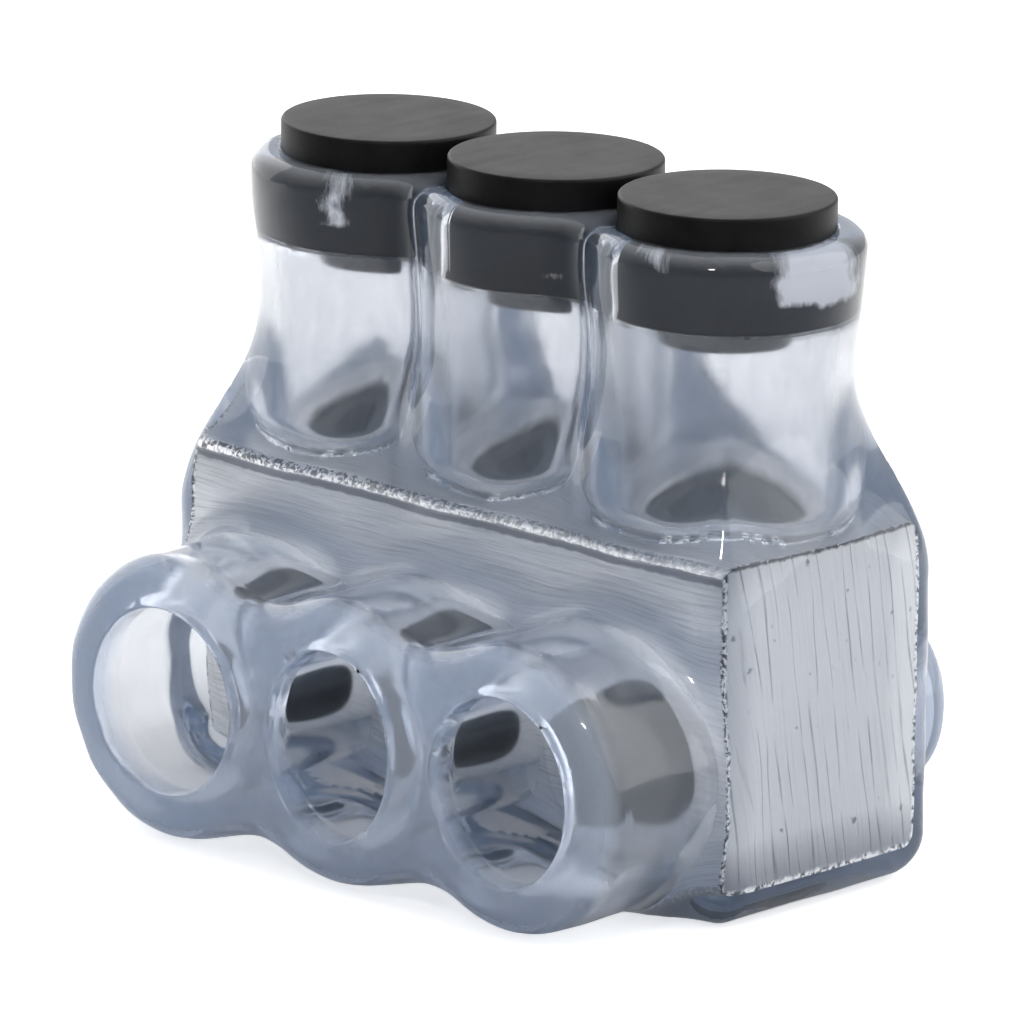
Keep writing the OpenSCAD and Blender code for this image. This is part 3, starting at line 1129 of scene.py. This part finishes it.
    def bores(self, p: Array) -> Array:
        """Distance to the round spaces in the towers, the collars and the stubs.

        In words: the least of the distances to cylinders round the axes of the screws and the ports. Each
        is cut to its length, and a tower's space widens by an eased step where its plug sits.

        Args:
            p: Points in millimetres, as rows.

        Returns:
            One distance per point.
        """
        lay = self.layout
        x, y, z = p[:, 0], p[:, 1], p[:, 2]
        start, width = self.plug_step
        plug_zone = ease((z - lay.plug_low - start) / width)
        bore_r = self.tower_bore_r + (lay.plug_r + self.plug_gap - self.tower_bore_r) * plug_zone
        up = z - lay.port_z
        inner_front = lay.jacket_low[1] + self.front_wall
        foot = lay.block_high[2] + self.foot_film - z
        spaces = []
        for port, lean in zip(lay.ports, self.plug_lean):
            middle = port - lean * plug_zone
            press = (self.plug_press - lean) * plug_zone
            spaces.append(rounded_cut(np.hypot(x - middle, y) - bore_r + press, foot, self.foot_r))
            hole = np.hypot(x - port, y) - self.foot_hole_r
            spaces.append(np.maximum(hole, np.abs(z - lay.block_high[2]) - self.seat_depth))
            collar = np.hypot(x - port, up) - self.collar_bore_r
            collar = rounded_cut(collar, inner_front - y, self.throat_r)
            spaces.append(np.maximum(collar, y - lay.block_low[1] - self.seat_depth))
            stub = np.maximum(np.hypot(x - port, up) - lay.wire_r, y - lay.jacket_high[1] + self.stub_wall)
            spaces.append(np.maximum(stub, lay.block_high[1] - self.seat_depth - y))
        return reduce(np.minimum, spaces)

    def openings(self, p: Array) -> Array:
        """Distance to the openings cut by hand in the collars' fronts, each of its own width and height.

        In words: an ellipse's level, times its shorter half, cut a little behind the front wall.

        Args:
            p: Points in millimetres, as rows.

        Returns:
            One distance per point.
        """
        lay = self.layout
        depth = p[:, 1] - lay.jacket_low[1] - self.front_wall - self.cut_depth
        holes = []
        for port, wide, high in zip(lay.ports, self.opening_x, self.opening_z):
            hole = np.hypot((p[:, 0] - port) / wide, (p[:, 2] - lay.port_z) / high) - 1.0
            holes.append(np.maximum(hole * min(wide, high), depth))
        return reduce(np.minimum, holes)

    def hollow(self, p: Array) -> Array:
        """Distance to all the spaces inside the vinyl."""
        return np.minimum(np.minimum(self.seat(p), self.bores(p)), self.openings(p))

    def distance(self, p: Array) -> Array:
        """Signed distance to the vinyl, negative inside it."""
        return rounded_cut(self.outer(p), -self.hollow(p), self.cut_edge_r)

    def dull_share(self, verts: Array, bare: Array) -> Array:
        """How dull the skin is: a light haze on the collars, more at their lips, most on cuts and bores.

        Args:
            verts: Vertices in millimetres.
            bare: Which of them lie on a bore's wall that no plug covers.

        Returns:
            One share per vertex.
        """
        lay = self.layout
        y = verts[:, 1]
        start, width = self.haze_zone
        dull = self.haze * ease((lay.block_low[1] - start - y) / width)
        start, width = self.lip_haze_zone
        dull += (self.lip_haze - self.haze) * ease((lay.jacket_low[1] - y + start) / width)
        dull[np.abs(self.openings(verts)) < self.wall_reach] = Wall.CUT.value
        dull[bare] = Wall.BORE.value
        dull[bare & (y < lay.block_low[1])] = Wall.COLLAR.value
        return dull

    def cloud_share(self, verts: Array, on_bore: Array) -> Array:
        """How milky the skin is: at the lips, the towers' rims and the stubs, but not on the bores' walls.

        Args:
            verts: Vertices in millimetres.
            on_bore: Which of them lie on a bore's wall.

        Returns:
            One share per vertex.
        """
        lay = self.layout
        y, z = verts[:, 1], verts[:, 2]
        start, width = self.lip_cloud_zone
        lip = ease((lay.jacket_low[1] - y + start) / width)
        start, width = self.rim_cloud_zone
        rim = self.rim_cloud * ease((z - lay.jacket_high[2] + start) / width)
        start, width = self.stub_cloud_zone
        stub = ease((y - lay.block_high[1] - start) / width)
        cloud = reduce(np.maximum, (lip, rim, stub))
        cloud[on_bore] = 0.0
        return cloud

    def build(self) -> bpy.types.Object:
        """Makes the mesh and dresses it.

        Returns:
            The jacket, riding on the connector.
        """
        lay = self.layout
        axes = tuple(np.arange(low - self.margin, high + self.margin + self.spacing, self.spacing)
                     for low, high in zip(lay.jacket_low, lay.jacket_high))
        verts, faces, normals = LevelSurface(axes).mesh(self.distance)
        piece = make_piece("clear_jacket", verts, faces, normals)
        on_bore = np.abs(self.bores(verts)) < self.wall_reach
        bare = on_bore & (verts[:, 2] < lay.plug_low + Plug.nub_length - self.nub_cover)
        give_values(piece, DULLNESS, self.dull_share(verts, bare))
        give_values(piece, CLOUD, self.cloud_share(verts, on_bore))
        piece.data.materials.append(self.finish.material())
        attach(piece, "connector")
        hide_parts("jacket")
        return piece


@dataclass
class Plug:
    """Rubber stopper with a lead-in nub, pressed into a tower, with pale patches of painted reflection near
    its top.
    """

    layout: Layout
    number: int
    finish: MouldedRubber = field(default_factory=MouldedRubber)
    nub_r: float = 7.3
    nub_length: float = 2.9
    edge_r: float = 0.4
    steps: int = 256
    arc_steps: int = 5
    side_rows: int = 40
    sharp_angle: float = 35.0
    patches: tuple[tuple[float, float, float, float], ...] = ()
    patch_fade: Pair = (22.0, 1.6)

    def profile(self) -> Array:
        """Radius and height from the middle of the nub's end to the middle of the top.

        In words: straight runs joined by quarter circles of the edge's radius.

        Returns:
            Rows of radius and height.
        """
        lay = self.layout
        r, low, top, e = lay.plug_r, lay.plug_low + self.nub_length, lay.plug_top, self.edge_r
        turn = np.linspace(0.0, math.pi / 2, self.arc_steps)
        nub_low = lay.plug_low
        points = [(0.0, nub_low), (self.nub_r * 0.5, nub_low), (self.nub_r - e, nub_low)]
        points += [(self.nub_r - e + e * math.sin(t), nub_low + e - e * math.cos(t)) for t in turn[1:]]
        points += [(self.nub_r, low), ((self.nub_r + r) / 2, low), (r - e, low)]
        points += [(r - e + e * math.sin(t), low + e - e * math.cos(t)) for t in turn[1:]]
        points += [(r, z) for z in np.linspace(low + e, top - e, self.side_rows)[1:-1]]
        points += [(r - e + e * math.cos(t), top - e + e * math.sin(t)) for t in turn]
        points += [(share * (r - e), top) for share in (0.8, 0.55, 0.3, 0.0)]
        return np.array(points)

    def powder(self, verts: Array) -> Array:
        """Share of painted reflection at each vertex.

        In words: a patch is one inside its range of angles and depths, fades out over its margin, and has
        an outline that sines of the angle, in radians per degree, and of the depth make ragged.

        Args:
            verts: Vertices in millimetres.

        Returns:
            One share per vertex.
        """
        lay = self.layout
        angle = np.degrees(np.arctan2(verts[:, 1], verts[:, 0] - lay.ports[self.number - 1]))
        depth = lay.plug_top - verts[:, 2]
        share = np.zeros(len(verts))
        turn_fade, depth_fade = self.patch_fade
        for start, end, shallow, deep in self.patches:
            ragged = 1.1 * np.sin(0.31 * angle + 1.0) + 0.7 * np.sin(0.83 * angle)
            ragged = ragged + 2.2 * np.sin(1.9 * depth)
            turn = np.clip(np.minimum(angle + ragged - start, end - angle - ragged) / turn_fade, 0.0, 1.0)
            low = deep + 0.4 * np.sin(0.09 * angle + 0.6) + 0.15 * np.sin(0.29 * angle)
            down = np.clip(np.minimum(depth - shallow, low - depth) / depth_fade, 0.0, 1.0)
            share = np.maximum(share, np.minimum(turn, down))
        return share

    def build(self) -> bpy.types.Object:
        """Makes the mesh and dresses it.

        Returns:
            The plug, riding on its own body.
        """
        grid, _ = revolve(self.profile(), self.steps)
        grid[..., 0] += self.layout.ports[self.number - 1]
        verts, faces = closed_grid(grid)
        piece = make_piece(f"rubber_plug_{self.number}", verts, faces, sharp_angle=self.sharp_angle)
        give_values(piece, GAP_REFLECTION, self.powder(verts))
        piece.data.materials.append(self.finish.material())
        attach(piece, f"stopper_{self.number}")
        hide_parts(f"plug_{self.number}")
        return piece


@dataclass
class SetScrew:
    """Headless screw with a thread and a hexagon socket."""

    layout: Layout
    number: int
    finish: GreasedScrew = field(default_factory=GreasedScrew)
    across_flats: float = 7.94
    socket_depth: float = 7.0
    bevel: float = 0.9
    thread_pitch: float = 1.6
    thread_depth: float = 0.75
    thread_fade: float = 0.5
    side_rows: int = 64
    rim_share: float = 1.25
    socket_bevel: float = 0.25
    drill_depths: Pair = (0.8, 1.6)
    sharp_angle: float = 30.0
    steps: int = 180

    def build(self) -> bpy.types.Object:
        """Makes the mesh and dresses it.

        In words: a revolved profile whose side sinks by a triangle wave of height minus turn, and whose
        inner wall is a hexagon: half its width over the cosine of the angle from the nearest flat.

        Returns:
            The screw, riding on its own body.
        """
        lay = self.layout
        low, top, r = lay.screw_low, lay.screw_top, lay.screw_r
        side = np.linspace(low + self.bevel, top - self.bevel, self.side_rows)
        hex_r = self.across_flats / 2
        floor = top - self.socket_depth
        half_deep, deep = self.drill_depths
        under = [(0.0, low), (r * 0.5, low), (r - self.bevel, low)]
        wall = [(hex_r * self.rim_share, top), (hex_r, top - self.socket_bevel), (hex_r, floor),
                (hex_r * 0.5, floor - half_deep)]
        profile = under + [(r, z) for z in side] + [(r - self.bevel, top)] + wall + [(0.0, floor - deep)]
        grid, angle = revolve(np.array(profile), self.steps)
        turn = angle / (2 * math.pi)
        phase = (side[:, None] / self.thread_pitch - turn[None]) % 1.0
        fade = np.minimum(1.0, np.minimum(side - side[0], side[-1] - side) / self.thread_fade)[:, None]
        sunk = r - self.thread_depth * np.abs(2.0 * phase - 1.0) * np.clip(fade, 0, 1)
        ring = np.stack([np.cos(angle), np.sin(angle)], axis=-1)
        first = len(under)
        grid[first:first + len(side), :, :2] = sunk[..., None] * ring[None]
        flat = (angle + math.pi / 6) % (math.pi / 3) - math.pi / 6
        grid[-1 - len(wall):-1, :, :2] /= np.cos(flat)[None, :, None]
        grid[..., 0] += lay.ports[self.number - 1]
        verts, faces = closed_grid(grid)
        piece = make_piece(f"socket_screw_{self.number}", verts, faces, sharp_angle=self.sharp_angle)
        piece.data.materials.append(self.finish.material())
        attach(piece, f"screw_{self.number}")
        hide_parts(f"set_screw_{self.number}")
        return piece


@dataclass
class Block:
    """Aluminium block, which keeps its own solid and gets its finish."""

    layout: Layout

    def build(self) -> bpy.types.Object:
        """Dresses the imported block.

        Returns:
            The block's object.
        """
        piece = frame["nodes"]["block"]
        material = SawnAluminium(self.layout).material()
        if piece.data.materials:
            for index in range(len(piece.data.materials)):
                piece.data.materials[index] = material
        else:
            piece.data.materials.append(material)
        return piece


class LampShape(Enum):
    """Outlines of a lamp, by Blender's names."""

    SQUARE = "SQUARE"
    DISK = "DISK"


@dataclass(frozen=True)
class Lamp:
    """Area lamp that faces the connector: angles in degrees on the camera's scale, metres and watts."""

    name: str
    azimuth: float
    elevation: float
    size: float
    power: float
    shape: LampShape = LampShape.DISK
    away: float = 1.2
    aim: Triple = (0.0, 0.0, 0.035)

    def build(self) -> bpy.types.Object:
        """Makes the lamp and turns it towards its aim.

        Returns:
            The lamp.
        """
        way = direction(self.azimuth, self.elevation)
        data = bpy.data.lights.new(self.name, "AREA")
        data.shape = self.shape.value
        data.size = self.size
        data.energy = self.power
        lamp = bpy.data.objects.new(self.name, data)
        bpy.context.scene.collection.objects.link(lamp)
        turn = way.to_track_quat("Z", "Y").to_matrix().to_4x4()
        lamp.matrix_world = Matrix.Translation(Vector(self.aim) + way * self.away) @ turn
        return lamp


@dataclass
class Studio:
    """Floor, lamps, background and camera."""

    azimuth: float = 43.042
    elevation: float = 14.74
    roll: float = 0.813
    distance: float = 1442.0
    aim: Triple = (-6.022, 0.0, 36.248)
    pixels_per_mm: float = 8.827
    image_px: float = 1024.0
    sensor_mm: float = 36.0
    clip_end: float = 20.0
    floor_size: float = 4.0
    floor_through: Colour = (0.64, 0.64, 0.65, 1.0)
    floor_through_front: Colour = (0.88, 0.88, 0.88, 1.0)
    floor_edge: Pair = (-0.10, 0.15)
    floor_dim: Colour = (0.60, 0.61, 0.63, 1.0)
    floor_pale: Colour = (0.9, 0.9, 0.9, 1.0)
    floor_mirrored: Colour = (0.38, 0.38, 0.39, 1.0)
    floor_glow: float = 0.55
    bright_side: Triple = (-0.45, 0.62, 0.64)
    dim_fit: Triple = (-0.5, 0.5, 0.32)
    sight: Triple = (-0.68, 0.73, 0.0)
    through_fit: Fit = (0.25, 0.95, 0.85, 0.90)
    front_side: Triple = (-0.10, -0.89, 0.45)
    front_fit: Fit = (0.2, 1.0, 0.0, 2.1)
    sky_level: float = 0.8
    lamps: tuple[Lamp, ...] = (
        Lamp("key", 120.0, 32.0, 2.0, 15.0),
        Lamp("left", -100.0, 10.0, 1.4, 5.5),
        Lamp("glint", 30.0, 38.0, 0.10, 2.0, LampShape.SQUARE),
    )

    def camera(self) -> None:
        """Sets the camera where the photograph was taken from, rolled about its line of sight."""
        az, roll = math.radians(self.azimuth), math.radians(self.roll)
        back = direction(self.azimuth, self.elevation)
        right = Vector((math.cos(az), math.sin(az), 0.0))
        up = back.cross(right)
        turned_right = right * math.cos(roll) + up * math.sin(roll)
        turned_up = up * math.cos(roll) - right * math.sin(roll)
        data = bpy.data.cameras.new("camera")
        data.sensor_width = self.sensor_mm
        data.lens = self.pixels_per_mm * self.distance * self.sensor_mm / self.image_px
        data.clip_end = self.clip_end
        camera = bpy.data.objects.new("camera", data)
        bpy.context.scene.collection.objects.link(camera)
        place = (Vector(self.aim) + back * self.distance) * MM
        axes = Matrix((turned_right, turned_up, back)).transposed().to_4x4()
        camera.matrix_world = Matrix.Translation(place) @ axes
        bpy.context.scene.camera = camera

    def floor(self) -> None:
        """Lays the pale floor, which shows as white and keeps the connector's shadow."""
        half = self.floor_size / 2
        corners = [(-half, -half, 0), (half, -half, 0), (half, half, 0), (-half, half, 0)]
        mesh = bpy.data.meshes.new("floor")
        mesh.from_pydata(corners, [], [(0, 1, 2, 3)])
        floor = bpy.data.objects.new("floor", mesh)
        bpy.context.scene.collection.objects.link(floor)
        tree = NodeTree("pale_floor")
        path = tree.add("ShaderNodeLightPath")
        camera, glossy = path.outputs["Is Camera Ray"], path.outputs["Is Glossy Ray"]
        far = tree.ramp(tree.dot(tree.place(), self.sight), *self.floor_edge, 0.0)
        behind = tree.math("MAXIMUM", camera, far)
        front = tree.mix(glossy, self.floor_dim, self.floor_mirrored)
        colour = tree.mix(behind, front, self.floor_pale)
        through = tree.mix(behind, self.floor_through_front, self.floor_through)
        colour = tree.mix(path.outputs["Is Transmission Ray"], colour, through)
        shown = tree.math("MINIMUM", tree.math("MULTIPLY_ADD", glossy, behind, camera), 1.0)
        matt = tree.add("ShaderNodeBsdfDiffuse", {"Color": colour})
        glow = tree.add("ShaderNodeEmission", {"Color": WHITE, "Strength": self.floor_glow})
        both = tree.add("ShaderNodeAddShader", {0: matt.outputs[0], 1: glow.outputs[0]})
        mixed = tree.add("ShaderNodeMixShader", {0: shown, 1: matt.outputs[0], 2: both.outputs[0]})
        mesh.materials.append(tree.finish(mixed))

    def background(self) -> None:
        """Makes the background white where it is seen and a soft even sky for the light."""
        world = bpy.data.worlds.new("studio")
        bpy.context.scene.world = world
        world.use_nodes = True
        world.node_tree.nodes.clear()
        tree = NodeTree.on(world.node_tree)
        path = tree.add("ShaderNodeLightPath")
        way = tree.add("ShaderNodeTexCoord").outputs["Generated"]
        sky = tree.ramp(tree.dot(way, self.bright_side), *self.dim_fit)
        along = tree.math("ABSOLUTE", tree.dot(way, self.sight))
        through = tree.ramp(tree.math("MAXIMUM", along, tree.parts(way)[2]), *self.through_fit)
        front = tree.ramp(tree.dot(way, self.front_side), *self.front_fit)
        choice = {0: path.outputs["Is Transmission Ray"], 2: sky, 3: tree.total(through, front)}
        level = tree.product(tree.add("ShaderNodeMix", choice).outputs[0], self.sky_level)
        level = tree.math("MAXIMUM", path.outputs["Is Camera Ray"], level)
        glow = tree.add("ShaderNodeBackground", {"Color": WHITE, "Strength": level})
        tree.add("ShaderNodeOutputWorld", {"Surface": glow.outputs[0]})

    def build(self) -> None:
        """Sets up everything that isn't part of the connector."""
        scene = bpy.context.scene
        scene.view_settings.view_transform = "Standard"
        for name, value in CYCLES.items():
            setattr(scene.cycles, name, value)
        self.camera()
        self.floor()
        self.background()
        for lamp in self.lamps:
            lamp.build()


def main() -> None:
    """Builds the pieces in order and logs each."""
    logging.basicConfig(level=logging.INFO, format="%(name)s: %(message)s")
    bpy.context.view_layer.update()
    layout = Layout.from_frame()
    pieces = [Block(layout).build(), Jacket(layout).build()]
    numbers = range(1, len(layout.ports) + 1)
    pieces += [SetScrew(layout, number).build() for number in numbers]
    pieces += [Plug(layout, number, patches=GAP_REFLECTION_PATCHES.get(number, ())).build() for number in numbers]
    for piece in pieces:
        LOG.info("%s: %d faces", piece.name, len(piece.data.polygons))
    Studio().build()


if __name__ == "__main__":
    main()
